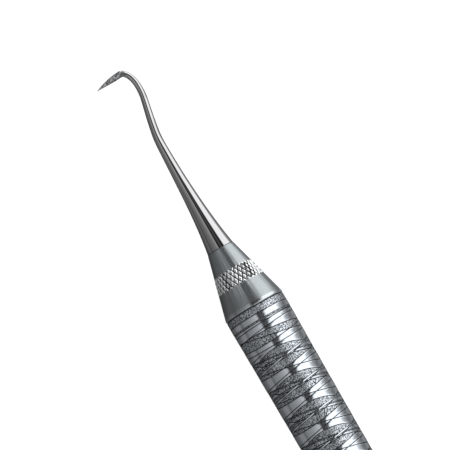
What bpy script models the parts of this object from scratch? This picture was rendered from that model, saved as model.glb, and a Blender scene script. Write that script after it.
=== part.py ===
"""Double-ended hand scaler with screw-in working ends, for Blender 4.5.

The handle lies along X with its middle at the origin, and the front working end is at +X.
Each end is the same: a tube, a threaded socket fixed inside it, a knurled cone whose stud
screws into the socket, a seal ring under the cone, and a scaler tip whose tang is fixed in
the cone. Lengths at each end are measured outwards from the end face of the tube, and the
rear end is the front end turned half a turn about Z, so that both threads are right-handed.
"""

import math

import bmesh
import bpy
from mathutils import Matrix, Vector

MM = 0.001

# Handle tube: gently waisted outside, straight bore
TUBE_LENGTH = 95.0
TUBE_END_RADIUS = 4.75
TUBE_MIDDLE_RADIUS = 4.465
TUBE_BORE_RADIUS = 3.80
TUBE_EDGE_CHAMFER = 0.12
TUBE_END_BAND = 1.3
TUBE_STATIONS = 9
TUBE_STEPS = 60

# Threaded joint, right-handed
PITCH = 0.8
STUD_ROOT_RADIUS = 2.10
THREAD_HEIGHT = 0.40
THREAD_CLEARANCE = 0.15
ROWS_PER_TURN = 4
RUN_OUT_TURNS = 0.3
STUD_THREAD_START = -6.6
THREAD_TURNS = 5
THREAD_STEPS = 20

# Socket
FIT_GAP = 0.03
SOCKET_LENGTH = 10.0
SOCKET_BORE_END = -8.2
SEAL_POCKET_RADIUS = 3.0
SEAL_POCKET_DEPTH = 0.95

# Cone
CONE_BACK = 0.05
CONE_RIM_END = 0.30
CONE_FRONT = 10.05
CONE_FRONT_RADIUS = 2.15
CONE_EDGE_CHAMFER = 0.10
STUD_END = -7.4
STUD_END_RADIUS = 1.7
TANG_BORE_RADIUS = 1.25
TANG_BORE_END = 2.85
CONE_STEPS = 60

# Diamond knurl on the cone: one peak or valley to each step round it
KNURL_START = 3.9
KNURL_ROW_PITCH = 0.65
KNURL_ROWS = 4
KNURL_PEAK = 0.05
KNURL_VALLEY = 0.12

# Seal ring
SEAL_CENTRE = -0.42
SEAL_RING_RADIUS = 2.55
SEAL_CORD_RADIUS = 0.42
SEAL_STEPS = 24
SEAL_CORD_STEPS = 8

# Scaler tip: tang, tapering shank and sickle blade
TANG_END = 2.95
TANG_RADIUS = 1.22
SHOULDER = 10.1
SHANK_CORE_RADIUS = 0.67
SHANK_FLARE = 1.45
SHANK_FLARE_LENGTH = 8.8
SHANK_NARROWING = 0.009
SHANK_STEPS = 18
SHANK_STRAIGHT_STATIONS = 6
# Centre line of the shank as (outwards, sideways), smooth between these points
SHANK_ROUTE = (
    (21.85, 0.0),
    (25.85, -0.06),
    (28.85, -0.17),
    (31.25, -0.55),
    (33.65, -1.05),
    (35.65, -1.46),
    (37.25, -1.53),
    (38.45, -1.36),
    (39.25, -1.05),
    (39.8, -0.66),
)
ROUTE_STATIONS_PER_SPAN = 2
FACE_OUTWARDS = 39.55
BLADE_ROOT = -0.25
BLADE_POINT = 4.2
BLADE_HEIGHT = 1.0
BLADE_WIDTH = 0.94
BLADE_STATIONS = 11
BLADE_FACE_POWER = 1.5
BLADE_SECTIONS_END = 0.9965
SQUARENESS_AT_ROOT = 0.35
SQUARENESS_GROWTH = 2.5

TUBE_STEEL = ("etched_steel", (0.55, 0.56, 0.58), 0.35, 1.0)
PLAIN_STEEL = ("plain_steel", (0.60, 0.60, 0.60), 0.40, 1.0)
SATIN_STEEL = ("satin_steel", (0.38, 0.41, 0.42), 0.45, 1.0)
POLISHED_STEEL = ("polished_steel", (0.72, 0.72, 0.73), 0.12, 1.0)
SEAL_RUBBER = ("seal_rubber", (0.03, 0.03, 0.03), 0.60, 0.0)


# --------------------------------------------------------------- small helpers


def clear_scene():
    for obj in list(bpy.data.objects):
        bpy.data.objects.remove(obj)


def material(name, colour, roughness, metallic):
    found = bpy.data.materials.get(name)
    if found:
        return found
    made = bpy.data.materials.new(name)
    made.use_nodes = True
    shader = made.node_tree.nodes["Principled BSDF"]
    shader.inputs["Base Color"].default_value = (*colour, 1.0)
    shader.inputs["Roughness"].default_value = roughness
    shader.inputs["Metallic"].default_value = metallic
    return made


def angle_of(step, steps):
    """Angles start half a step off +Y, so that a flat side faces straight down."""
    return (step + 0.5) * 2 * math.pi / steps


def add_ring(bm, along, radius, steps):
    """A ring of vertices round X, at a place along it."""
    made = []
    for step in range(steps):
        turn = angle_of(step, steps)
        point = Vector((along, radius * math.cos(turn), radius * math.sin(turn)))
        made.append(bm.verts.new(point * MM))
    return made


def join_rings(bm, first, second):
    """Faces between two rings; one may have a whole number of times the other's vertices."""
    if len(first) < len(second):
        first, second = second, first
    ratio = len(first) // len(second)
    for k in range(len(second)):
        fan = [first[(k * ratio + i) % len(first)] for i in range(ratio + 1)]
        middle = ratio // 2
        here, there = second[k], second[(k + 1) % len(second)]
        for i in range(middle):
            bm.faces.new((fan[i], fan[i + 1], here))
        for i in range(middle, ratio):
            if i == middle:
                bm.faces.new((fan[i], fan[i + 1], there, here))
            else:
                bm.faces.new((fan[i], fan[i + 1], there))


def add_turned(bm, profile, steps):
    """Rings for a list of (along, radius), joined in order. Returns the first and the last."""
    rings = [add_ring(bm, along, radius, steps) for along, radius in profile]
    for one, other in zip(rings, rings[1:]):
        join_rings(bm, one, other)
    return rings[0], rings[-1]


def thread_radius(row, turn, turns, base, height):
    """Radius on one of the four rows to a turn: two on the base and two on the ridge."""
    if row % ROWS_PER_TURN < ROWS_PER_TURN // 2:
        return base
    progress = row // ROWS_PER_TURN + turn
    full = min(1.0, progress / RUN_OUT_TURNS, (turns - progress) / RUN_OUT_TURNS)
    return base + height * max(0.0, full)


def add_thread(bm, low_ring, high_ring, start, turns, base, height):
    """A right-handed thread between two rings. Its rows climb by a pitch in each turn, so the
    last step of one turn meets the first step of the next, and the first and last faces take
    in the whole of that seam."""
    steps = len(low_ring)
    rows = ROWS_PER_TURN * turns
    columns = []
    for step in range(steps):
        share = step / steps
        turn = angle_of(step, steps)
        column = []
        for row in range(rows + 1 + (ROWS_PER_TURN if step == 0 else 0)):
            along = start + PITCH * (share + row / ROWS_PER_TURN)
            radius = thread_radius(row, share, turns, base, height)
            point = Vector((along, radius * math.cos(turn), radius * math.sin(turn)))
            column.append(bm.verts.new(point * MM))
        columns.append(column)
    seam = columns[0][ROWS_PER_TURN:]
    for step in range(steps):
        here = columns[step]
        there = columns[step + 1] if step + 1 < steps else seam
        for row in range(rows):
            bm.faces.new((here[row], here[row + 1], there[row + 1], there[row]))
    for step in range(steps):
        after = (step + 1) % steps
        low = [low_ring[step], low_ring[after]]
        high = [high_ring[after], high_ring[step]]
        if after:
            low += [columns[after][0], columns[step][0]]
        else:
            low += columns[0][: ROWS_PER_TURN + 1] + [columns[step][0]]
        if step:
            high += [columns[step][rows], (columns[after] if after else seam)[rows]]
        else:
            high += columns[0][: rows - 1 : -1] + [columns[after][rows]]
        bm.faces.new(low)
        bm.faces.new(high)


def finish(bm, name, look):
    """Closes the mesh's books and makes it a named object at the origin."""
    bmesh.ops.recalc_face_normals(bm, faces=bm.faces)
    mesh = bpy.data.meshes.new(name)
    bm.to_mesh(mesh)
    bm.free()
    mesh.shade_smooth()
    mesh.set_sharp_from_angle(angle=math.radians(35))
    obj = bpy.data.objects.new(name, mesh)
    bpy.context.scene.collection.objects.link(obj)
    mesh.materials.append(material(*look))
    return obj


# ---------------------------------------------------------------------- handle


def tube_radius(along):
    """Outer radius: straight bands at both ends and a shallow waist between them."""
    half = TUBE_LENGTH / 2 - TUBE_END_BAND
    share = min(1.0, abs(along) / half)
    return TUBE_MIDDLE_RADIUS + (TUBE_END_RADIUS - TUBE_MIDDLE_RADIUS) * share**2


def make_tube():
    half = TUBE_LENGTH / 2
    inner_half = half - TUBE_END_BAND
    edge = TUBE_END_RADIUS - TUBE_EDGE_CHAMFER
    outside = [(-half, edge), (-half + TUBE_EDGE_CHAMFER, TUBE_END_RADIUS)]
    for i in range(TUBE_STATIONS):
        along = inner_half * (2 * i / (TUBE_STATIONS - 1) - 1)
        outside.append((along, tube_radius(along)))
    outside += [(half - TUBE_EDGE_CHAMFER, TUBE_END_RADIUS), (half, edge)]
    bore = [(half, TUBE_BORE_RADIUS), (-half, TUBE_BORE_RADIUS)]
    bm = bmesh.new()
    first, last = add_turned(bm, outside + bore, TUBE_STEPS)
    join_rings(bm, last, first)
    return finish(bm, "handle_tube", TUBE_STEEL)


# ------------------------------------------------------- pieces at each end


def place(obj, end):
    """Turns a piece made for the front about Z, if it is for the rear, and puts it at its end."""
    turn = 0.0 if end == "front" else math.pi
    half = TUBE_LENGTH / 2 * MM
    obj.matrix_world = Matrix.Rotation(turn, 4, "Z") @ Matrix.Translation((half, 0, 0))


def make_socket(end):
    """A plug fixed in the tube, with a threaded blind bore and a pocket for the seal ring."""
    outer = TUBE_BORE_RADIUS - FIT_GAP
    base = STUD_ROOT_RADIUS + THREAD_HEIGHT + THREAD_CLEARANCE
    # The ridges of this thread lie halfway between those of the stud.
    start = STUD_THREAD_START - PITCH / 2
    low = start - PITCH / 8
    high = start + PITCH * (THREAD_TURNS + 1) + PITCH / 8
    bm = bmesh.new()
    skin = [(-SOCKET_LENGTH, outer), (0.0, outer), (0.0, SEAL_POCKET_RADIUS)]
    skin += [(-SEAL_POCKET_DEPTH, SEAL_POCKET_RADIUS), (-SEAL_POCKET_DEPTH, base), (high, base)]
    back, top = add_turned(bm, skin, THREAD_STEPS)
    bottom, bore_end = add_turned(bm, [(low, base), (SOCKET_BORE_END, base)], THREAD_STEPS)
    add_thread(bm, bottom, top, start, THREAD_TURNS, base, -THREAD_HEIGHT)
    bm.faces.new(back)
    bm.faces.new(bore_end)
    place(finish(bm, f"{end}_socket", PLAIN_STEEL), end)


def cone_radius(along):
    share = (along - CONE_RIM_END) / (CONE_FRONT - CONE_RIM_END)
    return TUBE_END_RADIUS + (CONE_FRONT_RADIUS - TUBE_END_RADIUS) * share


def add_knurl(bm):
    """Diamond knurl: rings in which peaks and valleys take turns, staggered from row to row,
    with each face split along the valley. Returns the first and last rings."""
    rows = []
    for row in range(KNURL_ROWS + 1):
        along = KNURL_START + KNURL_ROW_PITCH * row
        ring = add_ring(bm, along, cone_radius(along), CONE_STEPS)
        inside = 0 < row < KNURL_ROWS
        for step, vert in enumerate(ring):
            if inside:
                across = Vector((0, vert.co.y, vert.co.z)).normalized()
                vert.co += across * (KNURL_PEAK if (step + row) % 2 else -KNURL_VALLEY) * MM
        rows.append(ring)
    for row in range(KNURL_ROWS):
        for step in range(CONE_STEPS):
            after = (step + 1) % CONE_STEPS
            near = (rows[row][step], rows[row][after])
            far = (rows[row + 1][step], rows[row + 1][after])
            if (step + row) % 2:
                bm.faces.new((near[0], near[1], far[0]))
                bm.faces.new((near[1], far[1], far[0]))
            else:
                bm.faces.new((near[0], near[1], far[1]))
                bm.faces.new((near[0], far[1], far[0]))
    return rows[0], rows[-1]


def make_cone(end):
    """The cone with its knurled band, its threaded stud and the blind bore for the tang."""
    bm = bmesh.new()
    stud_high = STUD_THREAD_START + PITCH * (THREAD_TURNS + 1) + PITCH / 8
    stud_low = STUD_THREAD_START - PITCH / 8
    tail = [(STUD_END, STUD_END_RADIUS), (stud_low, STUD_ROOT_RADIUS)]
    neck = [(stud_high, STUD_ROOT_RADIUS), (CONE_BACK, STUD_ROOT_RADIUS)]
    stud_tip, stud_bottom = add_turned(bm, tail, THREAD_STEPS)
    stud_top, neck_end = add_turned(bm, neck, THREAD_STEPS)
    add_thread(
        bm, stud_bottom, stud_top, STUD_THREAD_START, THREAD_TURNS, STUD_ROOT_RADIUS, THREAD_HEIGHT
    )
    rim = [
        (CONE_BACK, TUBE_END_RADIUS - CONE_EDGE_CHAMFER),
        (CONE_BACK + CONE_EDGE_CHAMFER, TUBE_END_RADIUS),
        (CONE_RIM_END, TUBE_END_RADIUS),
    ]
    rim_back, rim_front = add_turned(bm, rim, CONE_STEPS)
    knurl_back, knurl_front = add_knurl(bm)
    front = [(CONE_FRONT, CONE_FRONT_RADIUS)]
    bore = [(CONE_FRONT, TANG_BORE_RADIUS), (TANG_BORE_END, TANG_BORE_RADIUS)]
    front_edge, _ = add_turned(bm, front, CONE_STEPS)
    bore_mouth, bore_end = add_turned(bm, bore, THREAD_STEPS)
    for one, other in (
        (rim_back, neck_end),
        (rim_front, knurl_back),
        (knurl_front, front_edge),
        (front_edge, bore_mouth),
    ):
        join_rings(bm, one, other)
    bm.faces.new(stud_tip)
    bm.faces.new(bore_end)
    place(finish(bm, f"{end}_cone", SATIN_STEEL), end)


def make_seal(end):
    """A round-section ring on the neck of the stud."""
    bm = bmesh.new()
    profile = []
    for k in range(SEAL_CORD_STEPS):
        turn = 2 * math.pi * k / SEAL_CORD_STEPS
        along = SEAL_CENTRE + SEAL_CORD_RADIUS * math.cos(turn)
        profile.append((along, SEAL_RING_RADIUS + SEAL_CORD_RADIUS * math.sin(turn)))
    first, last = add_turned(bm, profile, SEAL_STEPS)
    join_rings(bm, last, first)
    place(finish(bm, f"{end}_seal_ring", SEAL_RUBBER), end)


# ------------------------------------------------------------------ scaler tip


def shank_radius(along):
    beyond = along - SHOULDER
    flare = SHANK_FLARE * math.exp(-beyond / SHANK_FLARE_LENGTH)
    return SHANK_CORE_RADIUS + flare - SHANK_NARROWING * beyond


def smooth_route(points, per_span):
    """Points on the Catmull-Rom curve through the given ones."""
    known = [Vector(p) for p in points]
    known = [2 * known[0] - known[1], *known, 2 * known[-1] - known[-2]]
    found = []
    for a, b, c, d in zip(known, known[1:], known[2:], known[3:]):
        for i in range(per_span):
            t = i / per_span
            bend = (2 * a - 5 * b + 4 * c - d) * t**2 + (3 * b - a - 3 * c + d) * t**3
            found.append((2 * b + (c - a) * t + bend) / 2)
    return [*found, known[-2]]


def add_section(bm, centre, inwards, half_depth, half_width, squareness):
    """One section of the shank or blade. Its inner side faces the hollow of the hook and its
    outer side is the back. Squareness goes from 0, an ellipse, to 1, a triangle whose flat
    face is on the inner side."""
    corner = math.pi / 3
    made = []
    for step in range(SHANK_STEPS):
        turn = 2 * math.pi * step / SHANK_STEPS
        round_in = math.cos(turn) * half_depth
        round_across = math.sin(turn) * half_width
        # On the triangle, a point keeps its side: the flat face, or one of the two slopes.
        off = min(turn, 2 * math.pi - turn)
        side = 1.0 if turn <= math.pi else -1.0
        slope = max(0.0, (off - corner) / (math.pi - corner))
        flat_in = half_depth * (1 - 2 * slope)
        flat_across = side * half_width * min(off / corner, 1 - slope)
        deep = round_in + (flat_in - round_in) * squareness
        across = round_across + (flat_across - round_across) * squareness
        point = centre + inwards * deep
        made.append(bm.verts.new(Vector((point.x, point.y, across)) * MM))
    return made


def shank_sections(bm):
    """Round sections from the shoulder to the end of the shank's route."""
    first = SHANK_ROUTE[0][0]
    centres = []
    for i in range(SHANK_STRAIGHT_STATIONS):
        along = SHOULDER + (first - SHOULDER) * i / SHANK_STRAIGHT_STATIONS
        centres.append(Vector((along, 0.0)))
    centres += smooth_route(SHANK_ROUTE, ROUTE_STATIONS_PER_SPAN)
    sections = []
    for k, centre in enumerate(centres):
        before, after = centres[max(k - 1, 0)], centres[min(k + 1, len(centres) - 1)]
        ahead = (after - before).normalized()
        radius = shank_radius(centre.x)
        inwards = Vector((-ahead.y, ahead.x))
        sections.append(add_section(bm, centre, inwards, radius, radius, 0.0))
    return sections


def blade_sections(bm):
    """Sections across the blade, from its root to its point: a flat face on one plane and a
    curved back, with the width tapering to the point."""
    sections = []
    for k in range(BLADE_STATIONS):
        share = k / (BLADE_STATIONS - 1) * BLADE_SECTIONS_END
        sideways = BLADE_ROOT + (BLADE_POINT - BLADE_ROOT) * share
        height = BLADE_HEIGHT * (1 - share**2)
        half_width = BLADE_WIDTH / 2 * (1 - share**BLADE_FACE_POWER)
        inwards = Vector((-1.0, 0.0))
        centre = Vector((FACE_OUTWARDS + height / 2, sideways))
        squareness = min(1.0, SQUARENESS_AT_ROOT + SQUARENESS_GROWTH * share)
        sections.append(add_section(bm, centre, inwards, height / 2, half_width, squareness))
    return sections


def make_tip(end):
    """Tang, shank and sickle blade, forged as one piece of steel."""
    bm = bmesh.new()
    sections = []
    for along in (TANG_END, SHOULDER):
        centre, inwards = Vector((along, 0.0)), Vector((0.0, 1.0))
        sections.append(add_section(bm, centre, inwards, TANG_RADIUS, TANG_RADIUS, 0.0))
    sections += shank_sections(bm)
    sections += blade_sections(bm)
    for one, other in zip(sections, sections[1:]):
        for step in range(SHANK_STEPS):
            after = (step + 1) % SHANK_STEPS
            bm.faces.new((one[step], one[after], other[after], other[step]))
    bm.faces.new(sections[0])
    bm.faces.new(sections[-1])
    place(finish(bm, f"{end}_scaler_tip", POLISHED_STEEL), end)


def main():
    clear_scene()
    make_tube()
    for end in ("front", "rear"):
        make_socket(end)
        make_cone(end)
        make_seal(end)
        make_tip(end)


main()
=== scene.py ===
"""The looks of a double-ended hand scaler: etched handle, knurled satin cones, polished shanks
with ground sickle blades, on a white table. Lengths are in millimetres until a mesh is made."""

import math

import bpy
import numpy as np
from mathutils import Matrix, Vector


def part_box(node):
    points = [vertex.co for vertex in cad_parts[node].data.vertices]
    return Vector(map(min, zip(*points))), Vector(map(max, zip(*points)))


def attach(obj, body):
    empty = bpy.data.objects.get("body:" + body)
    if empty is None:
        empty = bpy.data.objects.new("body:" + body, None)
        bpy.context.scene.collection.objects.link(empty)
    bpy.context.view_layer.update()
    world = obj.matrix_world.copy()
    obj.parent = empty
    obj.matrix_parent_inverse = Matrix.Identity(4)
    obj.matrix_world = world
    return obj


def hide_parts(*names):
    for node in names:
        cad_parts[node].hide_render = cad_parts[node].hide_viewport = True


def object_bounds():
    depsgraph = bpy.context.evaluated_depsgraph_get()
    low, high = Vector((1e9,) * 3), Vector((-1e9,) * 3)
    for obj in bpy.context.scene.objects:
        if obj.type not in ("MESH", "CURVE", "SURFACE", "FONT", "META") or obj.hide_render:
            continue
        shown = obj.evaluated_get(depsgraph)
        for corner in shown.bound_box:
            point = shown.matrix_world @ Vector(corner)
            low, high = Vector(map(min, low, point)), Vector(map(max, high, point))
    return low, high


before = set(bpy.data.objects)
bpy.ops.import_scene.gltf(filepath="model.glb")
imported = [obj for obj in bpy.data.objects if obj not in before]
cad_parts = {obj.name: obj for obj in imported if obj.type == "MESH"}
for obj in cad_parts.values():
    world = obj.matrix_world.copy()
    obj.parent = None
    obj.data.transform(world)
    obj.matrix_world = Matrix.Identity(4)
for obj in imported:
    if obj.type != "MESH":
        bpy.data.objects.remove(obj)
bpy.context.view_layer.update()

MM = 0.001
ENDS = ("front", "rear")

# ---------------------------------- driving dimensions, the first two of them from the frame
# Places along an end count outwards from the end face of the tube. Places across it count
# towards the side that the blade points to.
TUBE_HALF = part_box("handle_tube")[1].x / MM
TUBE_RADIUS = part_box("handle_tube")[1].z / MM
TUBE_MIDDLE_RADIUS = 4.465
TUBE_BORE_RADIUS = 3.80
TUBE_END_BAND = 1.3
TUBE_EDGE = 0.12

CONE_BACK = 0.05
CONE_RIM_END = 0.30
CONE_FRONT = 10.05
CONE_FRONT_RADIUS = 2.15
CONE_EDGE = 0.06
TANG_BORE_RADIUS = 1.25
KNURL_START = 3.87
KNURL_END = 6.53
KNURL_COUNT = 30
KNURL_ROWS = 4
KNURL_DEPTH = 0.18
KNURL_PROUD = 0.03
KNURL_RUN_OUT = 0.12

PITCH = 0.8
STUD_END = -7.4
STUD_END_RADIUS = 1.7
STUD_ROOT_RADIUS = 2.10
STUD_THREAD = (-6.9, -1.9)
THREAD_HEIGHT = 0.40
THREAD_CLEARANCE = 0.15
THREAD_PHASE = 0.15
THREAD_FLAT = 0.25
THREAD_FADE = 0.5

SOCKET_RADIUS = 3.77
SOCKET_BACK_EDGE = 0.15
SOCKET_EDGE = 0.05
SOCKET_LENGTH = 10.0
SOCKET_BORE_END = -8.2
SOCKET_THREAD = (-7.3, -2.3)
SEAL_POCKET_RADIUS = 3.0
SEAL_POCKET_DEPTH = 0.95
SEAL_POCKET_EDGE = 0.06
SOCKET_BORE_EDGE = 0.1
SEAL_CENTRE = -0.42
SEAL_RING_RADIUS = 2.55
SEAL_CORD_RADIUS = 0.41

SHOULDER = 10.1
SHANK_CORE_RADIUS = 0.67
SHANK_FLARE = 1.45
SHANK_FLARE_LENGTH = 8.8
SHANK_NARROWING = 0.009
SHANK_ROUTE = (
    (21.85, 0.0),
    (25.85, -0.06),
    (28.85, -0.17),
    (31.25, -0.55),
    (33.65, -1.05),
    (35.65, -1.46),
    (37.25, -1.53),
    (38.45, -1.36),
    (39.25, -1.05),
    (39.8, -0.66),
)
FACE_OUTWARDS = 39.55
BLADE_ROOT = -0.25
BLADE_POINT = 4.2
BLADE_HEIGHT = 1.0
BLADE_WIDTH = 0.92
BLADE_FACE_POWER = 1.5
ROOT_SQUARENESS = 0.35
SQUARENESS_GROWTH = 2.5
GROUND_FROM = 38.8
GROUND_START = -1.05
GROUND_FADE = 0.3


# ----------------------------------------------------------------- meshes made of rows of points
def ring(along, radius, steps):
    """Points round the axis. Along and radius may each be one number or one for each step."""
    turn = np.arange(steps) * 2 * np.pi / steps
    along = np.broadcast_to(along, steps)
    return np.stack([along, radius * np.cos(turn), radius * np.sin(turn)], axis=1)


def joining_faces(first, second):
    """Faces between two closed rows of vertex numbers, one of which may be a multiple of the
    other in length."""
    if len(first) == len(second):
        pairs = zip(first, np.roll(first, -1), np.roll(second, -1), second)
        return [tuple(int(i) for i in face) for face in pairs]
    swap = len(first) < len(second)
    many, few = (second, first) if swap else (first, second)
    ratio = len(many) // len(few)
    faces = []
    for k, vertex in enumerate(few):
        fan = [int(many[(k * ratio + i) % len(many)]) for i in range(ratio + 1)]
        face = (*fan, int(few[(k + 1) % len(few)]), int(vertex))
        faces.append(face[::-1] if swap else face)
    return faces


def mesh_of_rows(name, rows, closed_ends=(False, False), looped=False):
    """An object whose skin runs from row to row. Its ends are capped, or the last row joins
    the first."""
    starts = np.cumsum([0] + [len(row) for row in rows])
    numbers = [np.arange(a, b) for a, b in zip(starts, starts[1:])]
    faces = []
    for one, other in zip(numbers, numbers[1:]):
        faces += joining_faces(one, other)
    if looped:
        faces += joining_faces(numbers[-1], numbers[0])
    if closed_ends[0]:
        faces.append(tuple(int(i) for i in numbers[0][::-1]))
    if closed_ends[1]:
        faces.append(tuple(int(i) for i in numbers[-1]))
    mesh = bpy.data.meshes.new(name)
    mesh.from_pydata((np.concatenate(rows) * MM).tolist(), [], faces)
    mesh.update()
    piece = bpy.data.objects.new(name, mesh)
    bpy.context.scene.collection.objects.link(piece)
    return piece


def smooth(piece, sharp_angle):
    piece.data.shade_smooth()
    piece.data.set_sharp_from_angle(angle=math.radians(sharp_angle))


def face_outwards(piece):
    """Turns all faces outwards, by the sign of the volume they enclose."""
    mesh = piece.data
    mesh.calc_loop_triangles()
    corners = np.empty(len(mesh.loop_triangles) * 3, np.int32)
    mesh.loop_triangles.foreach_get("vertices", corners)
    points = np.empty(len(mesh.vertices) * 3)
    mesh.vertices.foreach_get("co", points)
    triangles = points.reshape(-1, 3)[corners.reshape(-1, 3)]
    if np.linalg.det(triangles).sum() < 0:
        mesh.flip_normals()


def add_layer(piece, name, values):
    """Gives each vertex a number that the piece's material can read."""
    layer = piece.data.attributes.new(name, "FLOAT", "POINT")
    layer.data.foreach_set("value", values.astype(np.float32))


def put_at_end(piece, end):
    """Moves a piece made for the front, along from the tube's end face, to its end."""
    turn = 0.0 if end == "front" else math.pi
    place = Matrix.Rotation(turn, 4, "Z") @ Matrix.Translation((TUBE_HALF * MM, 0, 0))
    piece.data.transform(place)


# ------------------------------------------------- fields: one formula for meshes and shaders
class Field:
    """A number that varies over a surface, worked out by a shader's maths nodes. Formulas made
    of these and of the functions below also take numpy arrays."""

    def __init__(self, tree, socket):
        self.tree = tree
        self.socket = socket

    def maths(self, operation, *others, clamp=False):
        node = self.tree.nodes.new("ShaderNodeMath")
        node.operation = operation
        node.use_clamp = clamp
        for place, value in zip(node.inputs, (self, *others)):
            if isinstance(value, Field):
                self.tree.links.new(value.socket, place)
            else:
                place.default_value = value
        return Field(self.tree, node.outputs[0])

    def __add__(self, other):
        return self.maths("ADD", other)

    def __sub__(self, other):
        return self.maths("SUBTRACT", other)

    def __mul__(self, other):
        return self.maths("MULTIPLY", other)

    def __truediv__(self, other):
        return self.maths("DIVIDE", other)

    def __rsub__(self, other):
        return (self * -1.0) + other

    def __neg__(self):
        return self * -1.0

    __radd__ = __add__
    __rmul__ = __mul__


def either(operation, by_numpy):
    """A function of fields or of arrays."""

    def function(value, *others):
        if isinstance(value, Field):
            return value.maths(operation, *others)
        return by_numpy(value, *others)

    return function


sine = either("SINE", np.sin)
size = either("ABSOLUTE", np.abs)
sign = either("SIGN", np.sign)
greater = either("MAXIMUM", np.maximum)
whole = either("FLOOR", np.floor)


def clamped(value):
    if isinstance(value, Field):
        return value.maths("ADD", 0.0, clamp=True)
    return np.clip(value, 0.0, 1.0)


def inside(distance, edge):
    """1 where the distance is under 0, falling to 0 over the width of the edge."""
    return clamped(0.5 - distance / edge)


# --------------------------------------------------------------------- the etching on the handle
# Lengths run from an end face of the tube, in millimetres. Turn is round the handle from its
# top towards -Y, in radians. A wave is (middle, rise, turn of its crest in degrees), and a chain
# of lenses is (middle, half height, turn of a widest place in degrees, waves round the handle).
ETCH_EDGE = 0.04
LINE_HALF = 0.062
FINE_LINE_HALF = 0.04
PARTING_LINE = 0.085
RING_LINE = 1.2
END_RIBBON = (2.27, 0.0, 0.0)
END_RIBBON_HALF = 0.13
END_WAVES = ((2.65, -0.17, 90.0), (3.5, -0.5, 90.0), (6.02, 0.46, -8.0))
END_FIELD = ((4.3, -0.42, -42.0), (4.97, 0.78, -17.0))
END_ARC = (4.6, 1.0, 75.0)
SLIVER_FROM = 0.14
CLUSTERS_FROM = 6.75
CLUSTER_PITCH = 4.66
FIRST_CLUSTER = 8.61
STROKES_END = -0.2
STROKES_FADE = 0.5
LENSES = ((-0.71, 1.02, -2.0, 1.5), (0.69, 0.9, -32.0, 1.0))
LENS_INSETS = (0.24, 0.46)
PLAIN_RIBBON = (0.02, -0.75, 90.0)
PLAIN_RIBBON_HALF = 0.13
HATCHED_RIBBON = (-0.4, 0.78, 100.0)
HATCHED_RIBBON_HALF = 0.09
CLUSTER_WAVES = ((2.32, -0.84, 95.0), (1.78, 1.0, 95.0))


def wave(turn, middle, rise, crest):
    """Once round the handle, with its crest at that turn."""
    return middle + rise * sine(turn + (math.pi / 2 - math.radians(crest)))


def lens_half(turn, height, crest, waves):
    """Half the height of a chain of lenses round the handle, pointed where they meet. There are
    twice as many lenses as waves."""
    return height * size(sine(waves * turn + (math.pi / 2 - waves * math.radians(crest))))


def line(off):
    return inside(size(off) - LINE_HALF, ETCH_EDGE)


def ribbon(off, half):
    """(the ribbon's width, the fine lines along its edges)"""
    beyond = size(off) - half
    return inside(beyond, ETCH_EDGE), inside(size(beyond) - FINE_LINE_HALF, ETCH_EDGE)


def end_etching(along, turn):
    """(stippled, lines, ribbons) of the rings and the first field, at one end of the handle. An
    arc crosses the field, and from the top of the handle on, what lies past the arc is plain."""
    upper, lower = (along - wave(turn, *shape) for shape in END_FIELD)
    arc = along - wave(turn, *END_ARC)
    sliver = inside(greater(-arc, SLIVER_FROM - turn), ETCH_EDGE)
    field = inside(greater(-upper, lower), ETCH_EDGE) * (1.0 - sliver)
    stippled = greater(inside(along - RING_LINE, ETCH_EDGE), field)
    ribbons, lines = ribbon(along - wave(turn, *END_RIBBON), END_RIBBON_HALF)
    offsets = [along - wave(turn, *shape) for shape in END_WAVES]
    for off in (along - PARTING_LINE, along - RING_LINE, upper, lower, arc, *offsets):
        lines = greater(lines, line(off))
    return stippled, lines, ribbons


def cluster_etching(along, turn):
    """(stippled, lines, ribbons) of the pattern that repeats along the handle: two chains of
    stippled lenses with strokes inside them, crossed by a hatched ribbon and a plain one."""
    cluster = whole((along - CLUSTERS_FROM) / CLUSTER_PITCH)
    near = (along - FIRST_CLUSTER) - cluster * CLUSTER_PITCH
    stippled = lines = None
    for middle, *shape in LENSES:
        half = lens_half(turn, *shape)
        off = size(near - middle) - half
        field, outline = inside(off, ETCH_EDGE), line(off)
        stippled = field if stippled is None else greater(stippled, field)
        lines = outline if lines is None else greater(lines, outline)
        for inset in LENS_INSETS:
            stroke = inside(size(near - middle + half - inset) - FINE_LINE_HALF, ETCH_EDGE)
            lines = greater(lines, stroke * field * inside(turn - STROKES_END, STROKES_FADE))
    for middle, rise, crest in CLUSTER_WAVES:
        for shift in (0.0, -CLUSTER_PITCH):
            lines = greater(lines, line(near - wave(turn, middle + shift, rise, crest)))
    hatched, edges = ribbon(near - wave(turn, *HATCHED_RIBBON), HATCHED_RIBBON_HALF)
    lines = greater(lines, edges)
    plain, edges = ribbon(near - wave(turn, *PLAIN_RIBBON), PLAIN_RIBBON_HALF)
    lines = greater(lines * (1.0 - plain), edges)
    return stippled * (1.0 - plain), lines, hatched * (1.0 - plain)


def etching(x, turn):
    """(stippled, lines, ribbons): how far each covers the handle, from 0 to 1, at a place along
    X and round it. The rear end's rings are the front's, turned half a turn about Z."""
    from_end = TUBE_HALF - size(x)
    at_end = inside(from_end - CLUSTERS_FROM, ETCH_EDGE)
    ends = end_etching(from_end, turn * sign(x))
    clusters = cluster_etching(TUBE_HALF - x, turn)
    return [a * at_end + b * (1.0 - at_end) for a, b in zip(ends, clusters)]


# ------------------------------------------------------------------------------- the handle
TUBE_COLUMNS = 240
TUBE_ROW_STEP = 0.13
STIPPLE_DEPTH = 0.02
LINE_DEPTH = 0.03


def tube_radius(x):
    """Straight bands at both ends and a shallow waist between them."""
    share = np.minimum(1.0, np.abs(x) / (TUBE_HALF - TUBE_END_BAND))
    return TUBE_MIDDLE_RADIUS + (TUBE_RADIUS - TUBE_MIDDLE_RADIUS) * share**2


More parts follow.
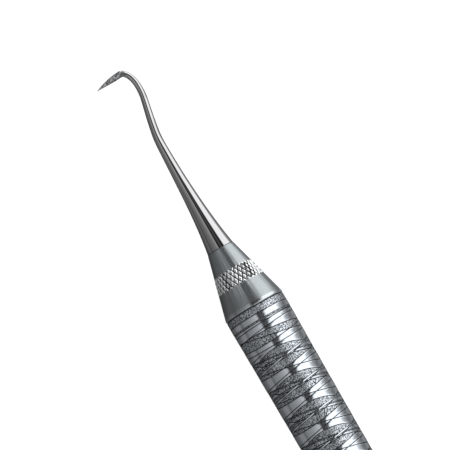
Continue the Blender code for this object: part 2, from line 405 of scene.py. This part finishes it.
def turn_of(points):
    """Round the handle from its top towards -Y."""
    return np.arctan2(-points[:, 1], points[:, 2])


def make_handle():
    """The tube, with the etched fields and lines sunk into its outside."""
    half = TUBE_HALF
    rows = [ring(-half, TUBE_RADIUS - TUBE_EDGE, TUBE_COLUMNS)]
    for x in np.linspace(TUBE_EDGE - half, half - TUBE_EDGE, round(2 * half / TUBE_ROW_STEP)):
        plain = ring(x, tube_radius(x), TUBE_COLUMNS)
        stippled, lines, ribbons = etching(np.full(TUBE_COLUMNS, x), turn_of(plain))
        depth = np.maximum(STIPPLE_DEPTH * np.maximum(stippled, ribbons), LINE_DEPTH * lines)
        rows.append(ring(x, tube_radius(x) - depth, TUBE_COLUMNS))
    rows.append(ring(half, TUBE_RADIUS - TUBE_EDGE, TUBE_COLUMNS))
    for x in (half, -half):
        rows.append(ring(x, TUBE_BORE_RADIUS, TUBE_COLUMNS))
    piece = mesh_of_rows("etched_handle", rows, looped=True)
    face_outwards(piece)
    smooth(piece, sharp_angle=40)
    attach(piece, "handle")
    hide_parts("handle_tube")
    return piece


# -------------------------------------------------------------------------------- the cones
CONE_COLUMNS = 480
STUD_COLUMNS = 120
STUD_ROW_STEP = 0.025
KNURL_ROW_STEPS = 14


def cone_radius(along):
    share = (along - CONE_RIM_END) / (CONE_FRONT - CONE_RIM_END)
    return TUBE_RADIUS + (CONE_FRONT_RADIUS - TUBE_RADIUS) * share


def zigzag(value):
    """0 at whole numbers and 1 halfway between them."""
    return 1.0 - np.abs(2.0 * (value - np.floor(value)) - 1.0)


def knurl_height(along, turn):
    """Rounded diamonds left between two crossing sets of grooves, from 0 in a groove to 1 on a
    peak."""
    across = turn / (2 * np.pi) * KNURL_COUNT
    rows = (along - KNURL_START) / (KNURL_END - KNURL_START) * KNURL_ROWS / 2
    flat = np.minimum(zigzag(across + rows), zigzag(across - rows))
    return flat * (2.0 - flat)


def knurl_rows():
    """Rows over the knurled band. The grooves run out at its edges."""
    turn = np.arange(CONE_COLUMNS) * 2 * np.pi / CONE_COLUMNS
    rows = []
    for along in np.linspace(KNURL_START, KNURL_END, KNURL_ROWS * KNURL_ROW_STEPS + 1):
        from_edge = min(along - KNURL_START, KNURL_END - along)
        strength = min(1.0, from_edge / KNURL_RUN_OUT)
        height = KNURL_PROUD - KNURL_DEPTH * (1.0 - knurl_height(along, turn))
        rows.append(ring(along, cone_radius(along) + strength * height, CONE_COLUMNS))
    return rows


def thread_height(along, turn, start, end, phase):
    """A right-handed ridge with rounded flanks, fading in and out at the ends of the thread."""
    place = zigzag(along / PITCH - turn / (2 * np.pi) + phase)
    flank = np.clip((place - THREAD_FLAT) / (1 - 2 * THREAD_FLAT), 0.0, 1.0)
    ridge = flank**2 * (3.0 - 2.0 * flank)
    fade = np.clip(min(along - start, end - along) / THREAD_FADE, 0.0, 1.0)
    return THREAD_HEIGHT * ridge * fade


def stud_rows():
    turn = np.arange(STUD_COLUMNS) * 2 * np.pi / STUD_COLUMNS
    rows = [ring(STUD_END, STUD_END_RADIUS, STUD_COLUMNS)]
    start, end = STUD_THREAD
    for along in np.arange(start, end, STUD_ROW_STEP):
        radius = STUD_ROOT_RADIUS + thread_height(along, turn, start, end, THREAD_PHASE)
        rows.append(ring(along, radius, STUD_COLUMNS))
    rows.append(ring(CONE_BACK, STUD_ROOT_RADIUS, STUD_COLUMNS))
    return rows


def make_cone(end):
    """Stud, rim, cone with its knurled band, and the mouth of the bore that the tang fills."""
    rows = stud_rows()
    rows.append(ring(CONE_BACK, TUBE_RADIUS - CONE_EDGE, CONE_COLUMNS))
    rows.append(ring(CONE_BACK + CONE_EDGE, TUBE_RADIUS, CONE_COLUMNS))
    rows.append(ring(CONE_RIM_END, TUBE_RADIUS, CONE_COLUMNS))
    rows += knurl_rows()
    rows.append(ring(CONE_FRONT - CONE_EDGE, cone_radius(CONE_FRONT - CONE_EDGE), CONE_COLUMNS))
    rows.append(ring(CONE_FRONT, CONE_FRONT_RADIUS - CONE_EDGE, CONE_COLUMNS))
    rows.append(ring(CONE_FRONT, TANG_BORE_RADIUS, STUD_COLUMNS))
    rows.append(ring(KNURL_START, TANG_BORE_RADIUS, STUD_COLUMNS))
    piece = mesh_of_rows(f"{end}_knurled_cone", rows, closed_ends=(True, True))
    points = np.concatenate(rows)
    peaks = knurl_height(points[:, 0], np.arctan2(points[:, 2], points[:, 1]))
    add_layer(piece, "peak", peaks)
    put_at_end(piece, end)
    face_outwards(piece)
    smooth(piece, sharp_angle=28)
    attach(piece, f"{end}_working_end")
    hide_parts(f"{end}_cone")
    return piece


# ---------------------------------------------------------------- the sockets and the seal rings
SEAL_COLUMNS = 144
SEAL_CORD_ROWS = 40
SEAL_FLASH = 0.012


def make_socket(end):
    """The plug fixed in the tube: a blind bore with its thread, and the seal's pocket."""
    turn = np.arange(STUD_COLUMNS) * 2 * np.pi / STUD_COLUMNS
    base = STUD_ROOT_RADIUS + THREAD_HEIGHT + THREAD_CLEARANCE
    start, stop = SOCKET_THREAD
    outline = [
        (-SOCKET_LENGTH, SOCKET_RADIUS - SOCKET_BACK_EDGE),
        (SOCKET_BACK_EDGE - SOCKET_LENGTH, SOCKET_RADIUS),
        (-SOCKET_EDGE, SOCKET_RADIUS),
        (0.0, SOCKET_RADIUS - SOCKET_EDGE),
        (0.0, SEAL_POCKET_RADIUS + SEAL_POCKET_EDGE),
        (-SEAL_POCKET_EDGE, SEAL_POCKET_RADIUS),
        (-SEAL_POCKET_DEPTH, SEAL_POCKET_RADIUS),
        (-SEAL_POCKET_DEPTH, base + SOCKET_BORE_EDGE),
        (-SEAL_POCKET_DEPTH - SOCKET_BORE_EDGE, base),
    ]
    rows = [ring(along, radius, STUD_COLUMNS) for along, radius in outline]
    for along in np.arange(stop, start, -STUD_ROW_STEP):
        ridge = thread_height(along, turn, start, stop, THREAD_PHASE + 0.5)
        rows.append(ring(along, base - ridge, STUD_COLUMNS))
    rows.append(ring(SOCKET_BORE_END, base, STUD_COLUMNS))
    piece = mesh_of_rows(f"{end}_threaded_socket", rows, closed_ends=(True, True))
    put_at_end(piece, end)
    face_outwards(piece)
    smooth(piece, sharp_angle=30)
    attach(piece, "handle")
    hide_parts(f"{end}_socket")
    return piece


def make_seal(end):
    """A round cord, moulded in halves that left a faint flash round its outside."""
    turn = np.arange(SEAL_CORD_ROWS) * 2 * np.pi / SEAL_CORD_ROWS
    cord = np.full(SEAL_CORD_ROWS, SEAL_CORD_RADIUS)
    cord[SEAL_CORD_ROWS // 4] += SEAL_FLASH
    profile = zip(SEAL_CENTRE + cord * np.cos(turn), SEAL_RING_RADIUS + cord * np.sin(turn))
    rows = [ring(along, radius, SEAL_COLUMNS) for along, radius in profile]
    piece = mesh_of_rows(f"{end}_moulded_seal", rows, looped=True)
    put_at_end(piece, end)
    face_outwards(piece)
    smooth(piece, sharp_angle=60)
    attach(piece, f"{end}_seal")
    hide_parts(f"{end}_seal_ring")
    return piece


# --------------------------------------------------------------------------------- the tips
TIP_COLUMNS = 48
STRAIGHT_STATIONS = 40
ROUTE_STATIONS = 8
TURN_STATIONS = 8
BLADE_STATIONS = 60
BLADE_END = 0.9985
TANG_END = 4.2
TANG_RADIUS = 1.22


def shank_radius(along):
    beyond = along - SHOULDER
    flare = SHANK_FLARE * math.exp(-beyond / SHANK_FLARE_LENGTH)
    return SHANK_CORE_RADIUS + flare - SHANK_NARROWING * beyond


def smooth_route(points, per_span):
    """Points on the Catmull-Rom curve through the given ones."""
    known = [Vector(p) for p in points]
    known = [2 * known[0] - known[1], *known, 2 * known[-1] - known[-2]]
    found = []
    for a, b, c, d in zip(known, known[1:], known[2:], known[3:]):
        for i in range(per_span):
            t = i / per_span
            bend = (2 * a - 5 * b + 4 * c - d) * t**2 + (3 * b - a - 3 * c + d) * t**3
            found.append((2 * b + (c - a) * t + bend) / 2)
    return [*found, known[-2]]


def section(centre, inwards, half_depth, half_width, squareness):
    """One closed row across the shank or blade, from an ellipse at squareness 0 to a triangle
    at 1. The triangle's flat side is on the inner side, towards which inwards points."""
    turn = np.arange(TIP_COLUMNS) * 2 * np.pi / TIP_COLUMNS
    corner = np.pi / 3
    off = np.minimum(turn, 2 * np.pi - turn)
    side = np.where(turn <= np.pi, 1.0, -1.0)
    slope = np.maximum(0.0, (off - corner) / (np.pi - corner))
    flat_in = half_depth * (1 - 2 * slope)
    flat_across = side * half_width * np.minimum(off / corner, 1 - slope)
    deep = np.cos(turn) * half_depth * (1 - squareness) + flat_in * squareness
    across = np.sin(turn) * half_width * (1 - squareness) + flat_across * squareness
    return np.stack([centre.x + inwards.x * deep, centre.y + inwards.y * deep, across], axis=1)


def shank_rows():
    first = SHANK_ROUTE[0][0]
    centres = [
        Vector((SHOULDER + (first - SHOULDER) * i / STRAIGHT_STATIONS, 0.0))
        for i in range(STRAIGHT_STATIONS)
    ]
    centres += smooth_route(SHANK_ROUTE, ROUTE_STATIONS)
    rows = []
    for k, centre in enumerate(centres):
        before, after = centres[max(k - 1, 0)], centres[min(k + 1, len(centres) - 1)]
        ahead = (after - before).normalized()
        radius = shank_radius(centre.x)
        rows.append(section(centre, Vector((-ahead.y, ahead.x)), radius, radius, 0.0))
    return rows


def blade_shape(share):
    """(centre, half height, half width) of the blade, from its root at 0 to its point at 1."""
    height = BLADE_HEIGHT * (1 - share**2)
    sideways = BLADE_ROOT + (BLADE_POINT - BLADE_ROOT) * share
    half_width = BLADE_WIDTH / 2 * (1 - share**BLADE_FACE_POWER)
    return Vector((FACE_OUTWARDS + height / 2, sideways)), height / 2, half_width


def turn_rows():
    """Rows over the tight turn from the end of the shank into the root of the blade."""
    shank_end, before = Vector(SHANK_ROUTE[-1]), Vector(SHANK_ROUTE[-2])
    root, half_height, half_width = blade_shape(0.0)
    heading = (root - before).normalized()
    start, end = math.atan2(heading.y, heading.x), math.pi / 2
    radius = shank_radius(shank_end.x)
    rows = []
    for k in range(1, TURN_STATIONS):
        share = k / TURN_STATIONS
        angle = start + (end - start) * share
        centre = shank_end.lerp(root, share)
        depth = radius + (half_height - radius) * share
        width = radius + (half_width - radius) * share
        inwards = Vector((-math.sin(angle), math.cos(angle)))
        rows.append(section(centre, inwards, depth, width, ROOT_SQUARENESS * share))
    return rows


def blade_rows():
    rows = []
    for k in range(BLADE_STATIONS + 1):
        share = k / BLADE_STATIONS * BLADE_END
        centre, half_height, half_width = blade_shape(share)
        squareness = min(1.0, ROOT_SQUARENESS + SQUARENESS_GROWTH * share)
        rows.append(section(centre, Vector((-1.0, 0.0)), half_height, half_width, squareness))
    return rows


def make_tip(end):
    """Tang, polished shank and ground blade, one piece of steel. The attribute called ground
    goes from 0 on the polished steel to 1 on the ground blade."""
    tang = [
        section(Vector((along, 0.0)), Vector((0.0, 1.0)), TANG_RADIUS, TANG_RADIUS, 0.0)
        for along in (TANG_END, SHOULDER)
    ]
    rows = [*tang, *shank_rows(), *turn_rows(), *blade_rows()]
    piece = mesh_of_rows(f"{end}_polished_tip", rows, closed_ends=(True, True))
    points = np.concatenate(rows)
    ground = np.clip((points[:, 1] - GROUND_START) / GROUND_FADE, 0.0, 1.0)
    add_layer(piece, "ground", ground * (points[:, 0] > GROUND_FROM))
    put_at_end(piece, end)
    face_outwards(piece)
    smooth(piece, sharp_angle=30)
    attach(piece, f"{end}_working_end")
    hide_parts(f"{end}_scaler_tip")
    return piece


# -------------------------------------------------------------------------------- materials
# Colours in twos go from the darker places of a finish to its lighter ones.
POLISHED = ((0.63, 0.675, 0.725), (0.75, 0.805, 0.86))
STIPPLED = ((0.105, 0.117, 0.13), (0.72, 0.77, 0.82))
ETCHED_BLACK = (0.012, 0.012, 0.014)
SATIN = ((0.357, 0.39, 0.402), (0.418, 0.453, 0.466))
SATIN_GRAIN = (0.469, 0.50, 0.514)
RIM = (0.63, 0.675, 0.69)
# The knurl's first colour, near black, is painted shade for its grooves; the second is the bright
# cut steel of its diamonds.
KNURL_PAINTED_GROOVE_SHADE_AND_PEAK = ((0.01, 0.01, 0.01), (0.94, 0.975, 0.985))
SHANK = ((0.54, 0.54, 0.55), (0.60, 0.60, 0.61))
BLADE = ((0.06, 0.06, 0.065), (0.66, 0.67, 0.68))
TURNED = ((0.46, 0.46, 0.46), (0.58, 0.58, 0.58))
RUBBER = ((0.012, 0.012, 0.013), (0.04, 0.04, 0.042))

HATCHES = 118.0
HATCH_SLANT = 6.0
HATCHED_DARKNESS = 0.85
RIM_SHINE_END = 0.60
# The handle's skin is etched beyond this radius, which lies between the bore and the outside,
# and up to this far from its end faces.
ETCHED_FROM_RADIUS = 4.3
END_FACE_MARGIN = 0.02


def new_material(name):
    """(material, its node tree, its Principled shader)"""
    made = bpy.data.materials.new(name)
    made.use_nodes = True
    tree = made.node_tree
    return made, tree, tree.nodes["Principled BSDF"]


def wear(piece, material):
    piece.data.materials.clear()
    piece.data.materials.append(material)


def place_in_mm(tree):
    """The point on the object, in millimetres, as a vector socket."""
    place = tree.nodes.new("ShaderNodeTexCoord").outputs["Object"]
    scaled = tree.nodes.new("ShaderNodeVectorMath")
    scaled.operation = "SCALE"
    scaled.inputs["Scale"].default_value = 1 / MM
    tree.links.new(place, scaled.inputs[0])
    return scaled.outputs[0]


def parts_of(tree, vector):
    """The vector's x, y and z as fields."""
    node = tree.nodes.new("ShaderNodeSeparateXYZ")
    tree.links.new(vector, node.inputs[0])
    return [Field(tree, socket) for socket in node.outputs]


def noise(tree, vector, scale=1.0, detail=2.0, roughness=0.5):
    """Noise of about 0 to 1. Scale is in grains to a millimetre."""
    node = tree.nodes.new("ShaderNodeTexNoise")
    node.inputs["Scale"].default_value = scale
    node.inputs["Detail"].default_value = detail
    node.inputs["Roughness"].default_value = roughness
    tree.links.new(vector, node.inputs["Vector"])
    return Field(tree, node.outputs["Fac"])


def drawn_out_noise(tree, place, grains, detail, roughness=0.5):
    """Noise with this many grains to a millimetre along X, Y and Z. Where the numbers differ,
    it is drawn out like the marks of a tool or a polishing belt."""
    node = tree.nodes.new("ShaderNodeVectorMath")
    node.operation = "MULTIPLY"
    node.inputs[1].default_value = grains
    tree.links.new(place, node.inputs[0])
    return noise(tree, node.outputs[0], detail=detail, roughness=roughness)


def contrasted(value, low, high):
    """Stretches low to high over 0 to 1."""
    return clamped((value - low) / (high - low))


def between(amount, low, high):
    return low + amount * (high - low)


def mixed(tree, amount, first, second):
    """A colour socket that goes from the first colour to the second with the amount. Either may
    be a colour or a socket."""
    node = tree.nodes.new("ShaderNodeMix")
    node.data_type = "RGBA"
    tree.links.new(amount.socket, node.inputs["Factor"])
    for place, colour in zip(("A", "B"), (first, second)):
        socket = [s for s in node.inputs if s.name == place and s.type == "RGBA"][0]
        if isinstance(colour, tuple):
            socket.default_value = (*colour, 1.0)
        else:
            tree.links.new(colour, socket)
    return [s for s in node.outputs if s.type == "RGBA"][0]


def bump(tree, shader, height, distance):
    """Relief of the shader's surface, where a height of 1 is that distance in millimetres."""
    node = tree.nodes.new("ShaderNodeBump")
    node.inputs["Distance"].default_value = distance * MM
    tree.links.new(height.socket, node.inputs["Height"])
    tree.links.new(node.outputs[0], shader.inputs["Normal"])


def etched_steel():
    """Polished steel with stippled fields, dark outlines and hatched ribbons, all of them on
    the outside only. The bore and the end faces stay plain."""
    made, tree, shader = new_material("etched_steel")
    place = place_in_mm(tree)
    x, y, z = parts_of(tree, place)
    turn = (-y).maths("ARCTAN2", z)
    outside = inside(ETCHED_FROM_RADIUS**2 - (y * y + z * z), edge=0.4)
    outside = outside * inside(size(x) - (TUBE_HALF - END_FACE_MARGIN), edge=END_FACE_MARGIN)
    stippled, lines, ribbons = (amount * outside for amount in etching(x, turn))
    grains = contrasted(noise(tree, place, scale=5.6, detail=1.0), low=0.41, high=0.57)
    smudges = noise(tree, place, scale=0.6, detail=3.0)
    turned = drawn_out_noise(tree, place, (9.0, 0.35, 0.35), detail=3.0, roughness=0.6)
    hatch = inside(sine(turn * HATCHES + x * HATCH_SLANT), edge=0.8)
    matt = greater(stippled, ribbons * (1.0 - hatch))
    colour = mixed(tree, matt, mixed(tree, turned, *POLISHED), mixed(tree, grains, *STIPPLED))
    dark = greater(lines, ribbons * hatch * HATCHED_DARKNESS)
    tree.links.new(mixed(tree, dark, colour, ETCHED_BLACK), shader.inputs["Base Color"])
    shine = between(turned, 0.10, 0.20) + smudges * 0.04
    rough = greater(matt * between(grains, 0.46, 0.34), shine)
    tree.links.new(greater(rough, dark * 0.5).socket, shader.inputs["Roughness"])
    shader.inputs["Metallic"].default_value = 1.0
    relief = matt * (grains * 0.7 - 0.7) + turned * 0.015
    bump(tree, shader, relief, distance=0.02)
    return made


def satin_steel():
    """Fine-turned and vapour-blasted steel, with a polished rim. The knurled band is cut through
    the satin, bright steel on its diamonds and painted shade, near black, in its grooves, as the
    attribute called peak says."""
    made, tree, shader = new_material("satin_steel")
    place = place_in_mm(tree)
    grain = noise(tree, place, scale=7.0)
    turned = drawn_out_noise(tree, place, (12.0, 0.3, 0.3), detail=2.0)
    clouds = noise(tree, place, scale=0.45, detail=3.0)
    layer = tree.nodes.new("ShaderNodeAttribute")
    layer.attribute_name = "peak"
    peak = Field(tree, layer.outputs["Fac"])
    along = size(parts_of(tree, place)[0]) - TUBE_HALF
    rim = inside(along - RIM_SHINE_END, edge=0.08)
    knurl_middle, knurl_half = (KNURL_START + KNURL_END) / 2, (KNURL_END - KNURL_START) / 2
    cut = inside(size(along - knurl_middle) - knurl_half, edge=0.1)
    base = mixed(tree, contrasted(clouds, low=0.35, high=0.65), *SATIN)
    satin = mixed(tree, contrasted(grain, low=0.3, high=0.7), base, SATIN_GRAIN)
    # Near black in the grooves is painted shade; the diamonds keep the cut steel's bright colour.
    knurl_with_painted_groove_shade = mixed(tree, contrasted(peak, low=0.24, high=0.6), *KNURL_PAINTED_GROOVE_SHADE_AND_PEAK)
    worked = mixed(tree, rim, satin, RIM)
    tree.links.new(mixed(tree, cut, worked, knurl_with_painted_groove_shade), shader.inputs["Base Color"])
    rough = between(grain, 0.28, 0.38) * (1.0 - rim) + rim * 0.2
    tree.links.new((rough * (1.0 - cut) + cut * 0.22).socket, shader.inputs["Roughness"])
    shader.inputs["Metallic"].default_value = 1.0
    bump(tree, shader, grain * 0.7 + turned * 0.5, distance=0.004)
    return made


def polished_steel():
    """Mirror-polished shank, with a ground blade where the attribute called ground says."""
    made, tree, shader = new_material("polished_steel")
    place = place_in_mm(tree)
    layer = tree.nodes.new("ShaderNodeAttribute")
    layer.attribute_name = "ground"
    ground = Field(tree, layer.outputs["Fac"])
    lay = drawn_out_noise(tree, place, (9.0, 2.0, 9.0), detail=3.0, roughness=0.6)
    spots = contrasted(noise(tree, place, scale=4.0), low=0.35, high=0.65)
    hairlines = drawn_out_noise(tree, place, (0.5, 14.0, 14.0), detail=2.0)
    shank, blade = mixed(tree, hairlines, *SHANK), mixed(tree, spots, *BLADE)
    tree.links.new(mixed(tree, ground, shank, blade), shader.inputs["Base Color"])
    rough = between(hairlines, 0.02, 0.045) * (1.0 - ground) + between(spots, 0.42, 0.30) * ground
    tree.links.new(rough.socket, shader.inputs["Roughness"])
    shader.inputs["Metallic"].default_value = 1.0
    relief = (lay * 0.6 + spots * 0.4) * ground + hairlines * 0.02
    bump(tree, shader, relief, distance=0.012)
    return made


def plain_steel():
    """Turned steel of the sockets, with tool marks round their axis."""
    made, tree, shader = new_material("plain_steel")
    place = place_in_mm(tree)
    marks = drawn_out_noise(tree, place, (14.0, 0.4, 0.4), detail=3.0)
    stains = noise(tree, place, scale=0.9, detail=3.0)
    tree.links.new(mixed(tree, stains, *TURNED), shader.inputs["Base Color"])
    tree.links.new(between(marks, 0.22, 0.38).socket, shader.inputs["Roughness"])
    shader.inputs["Metallic"].default_value = 1.0
    bump(tree, shader, marks, distance=0.006)
    return made


def seal_rubber():
    """Matt black silicone with a faint bloom."""
    made, tree, shader = new_material("seal_rubber")
    place = place_in_mm(tree)
    bloom = contrasted(noise(tree, place, scale=2.2, detail=4.0), low=0.4, high=0.75)
    tree.links.new(mixed(tree, bloom, *RUBBER), shader.inputs["Base Color"])
    tree.links.new(between(bloom, 0.5, 0.68).socket, shader.inputs["Roughness"])
    bump(tree, shader, noise(tree, place, scale=12.0), distance=0.004)
    return made


# ------------------------------------------------------------------------ table, light, camera
FLOOR_HALF = 4.0
FLOOR_COLOUR = (0.25, 0.25, 0.25)
FLOOR_GLOW = 0.96
LENS_MM = 300.0
SENSOR_MM = 36.0
FRAME_ACROSS = 66.3
TILT = 6.0
IMAGE_TURN = 59.9
AIM = (60.31, -2.34)


def make_floor():
    """A white back-lit table under the object."""
    mesh = bpy.data.meshes.new("floor")
    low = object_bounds()[0].z
    square = ((-1, -1), (1, -1), (1, 1), (-1, 1))
    corners = [(x * FLOOR_HALF, y * FLOOR_HALF, low) for x, y in square]
    mesh.from_pydata(corners, [], [(0, 1, 2, 3)])
    floor = bpy.data.objects.new("floor", mesh)
    bpy.context.scene.collection.objects.link(floor)
    made, _, shader = new_material("floor_white")
    shader.inputs["Base Color"].default_value = (*FLOOR_COLOUR, 1.0)
    shader.inputs["Roughness"].default_value = 0.9
    shader.inputs["Specular IOR Level"].default_value = 0.0
    shader.inputs["Emission Color"].default_value = (1.0, 1.0, 1.0, 1.0)
    shader.inputs["Emission Strength"].default_value = FLOOR_GLOW
    wear(floor, made)
    floor.visible_glossy = False


# The studio's brightness round the object, by degrees from straight up towards -Y: a grey
# sweep on one side, the dark gap of the camera, a white panel, and a grey fall-off.
STUDIO = (
    (-180.0, 0.10), (-140.0, 0.10), (-118.0, 0.15), (-104.0, 0.26), (-90.0, 0.28), (-82.0, 0.24),
    (-79.0, 0.11), (-75.0, 0.11), (-72.0, 0.25), (-48.0, 0.32), (-36.0, 0.40), (-24.0, 0.51),
    (-9.0, 0.72), (-6.0, 0.02), (1.0, 0.02), (6.0, 0.09), (11.0, 0.09), (14.0, 0.02),
    (20.5, 0.02), (25.0, 1.45), (76.0, 1.5), (84.0, 0.85), (90.0, 0.42), (104.0, 0.36),
    (112.0, 0.18), (122.0, 0.14), (130.0, 0.26), (150.0, 0.32), (180.0, 0.10),
)
STUDIO_TOP = 1.5

# How far off the panel's edges stand, as a multiple of the degrees above.
PANEL_STANDOFF = 0.88
PANEL_LEAN = 1.3
NEAR_EDGE_LEAN = 0.45
NEAR_EDGE_END = 78.0
FAR_EDGE_LEAN = 0.2
FAR_EDGE_START = 60.0
FAR_EDGE_BELOW_X = -0.02
# Where the tapering shanks reflect the studio, and where the sweep is brighter.
SHANK_X = (0.18, 0.5)
BRIGHT_FROM_X = 0.67
SWEEP_DIMMING = 0.4
SHANK_DIMMING = 0.22
SWEEP_BRIGHTENING = 0.9


def ramp(tree, value, stops, scale):
    """A field that runs straight from stop to stop, over values from -180 to 180."""
    node = tree.nodes.new("ShaderNodeValToRGB")
    places = node.color_ramp.elements
    while len(places) < len(stops):
        places.new(1.0)
    for place, (where, amount) in zip(places, stops):
        place.position = (where + 180.0) / 360.0
        place.color = (*[amount / scale] * 3, 1.0)
    tree.links.new(((value + 180.0) / 360.0).socket, node.inputs["Fac"])
    return Field(tree, node.outputs["Color"]) * scale


def studio_strength(tree, x, around):
    """The light's strength, by how far a direction points along +X, from -1 to 1, and by its
    degrees round the object. Towards +X the white panel leans away and the grey sweep dims, and
    furthest along +X the sweep is brighter. The panel's near edge leans away more where the
    tapering shanks reflect it, and its far edge reaches further where x is below 0."""
    over_shank = inside(SHANK_X[0] - x, edge=0.12) * inside(x - SHANK_X[1], edge=0.1)
    near_edge = over_shank * inside(around - NEAR_EDGE_END, edge=50.0)
    far_edge = inside(x - FAR_EDGE_BELOW_X, edge=0.06)
    far_edge = far_edge * inside(FAR_EDGE_START - around, edge=30.0)
    standoff = clamped(x) * PANEL_LEAN + PANEL_STANDOFF
    standoff = standoff + near_edge * NEAR_EDGE_LEAN + far_edge * FAR_EDGE_LEAN
    leaning = greater(around, 0.0) / standoff - greater(-around, 0.0)
    on_sweep = inside(around, edge=4.0)
    dimming = clamped(x) * SWEEP_DIMMING + over_shank * SHANK_DIMMING
    brightening = inside(BRIGHT_FROM_X - x, edge=0.05) * SWEEP_BRIGHTENING
    amount = 1.0 - (dimming - brightening) * on_sweep
    return ramp(tree, leaning, STUDIO, STUDIO_TOP) * amount


def make_light():
    """Soft light along both sides of the object and a dark gap above it, where the camera is.
    The camera itself sees plain white behind the table."""
    world = bpy.data.worlds.new("studio")
    bpy.context.scene.world = world
    world.use_nodes = True
    tree = world.node_tree
    direction = tree.nodes.new("ShaderNodeTexCoord").outputs["Generated"]
    x, y, z = parts_of(tree, direction)
    around = (-y).maths("ARCTAN2", z) * math.degrees(1.0)
    strength = studio_strength(tree, x, around)
    seen = Field(tree, tree.nodes.new("ShaderNodeLightPath").outputs["Is Camera Ray"])
    background = tree.nodes["Background"]
    tree.links.new((strength * (1.0 - seen) + seen).socket, background.inputs["Strength"])
    background.inputs["Color"].default_value = (1.0, 1.0, 1.0, 1.0)


def make_camera():
    """A long lens almost straight above, tilted so that the front tip is further away."""
    data = bpy.data.cameras.new("camera")
    data.lens, data.sensor_width = LENS_MM, SENSOR_MM
    camera = bpy.data.objects.new("camera", data)
    bpy.context.scene.collection.objects.link(camera)
    tilt, turn = math.radians(TILT), math.radians(IMAGE_TURN)
    back = Vector((-math.sin(tilt), 0.0, math.cos(tilt)))
    along, across = Vector((math.cos(tilt), 0.0, math.sin(tilt))), Vector((0.0, 1.0, 0.0))
    right = -math.cos(turn) * along - math.sin(turn) * across
    up = math.sin(turn) * along - math.cos(turn) * across
    distance = LENS_MM / SENSOR_MM * FRAME_ACROSS * MM
    aim = Vector((AIM[0] * MM, AIM[1] * MM, 0.0))
    place = Matrix((right, up, back)).transposed().to_4x4()
    place.translation = aim + back * distance
    camera.matrix_world = place
    bpy.context.scene.camera = camera


def main():
    materials = {
        "etched_steel": etched_steel(),
        "satin_steel": satin_steel(),
        "polished_steel": polished_steel(),
        "plain_steel": plain_steel(),
        "seal_rubber": seal_rubber(),
    }
    wear(make_handle(), materials["etched_steel"])
    for end in ENDS:
        wear(make_cone(end), materials["satin_steel"])
        wear(make_tip(end), materials["polished_steel"])
        wear(make_socket(end), materials["plain_steel"])
        wear(make_seal(end), materials["seal_rubber"])
    make_floor()
    make_light()
    make_camera()
    bpy.context.scene.view_settings.view_transform = "Standard"


main()
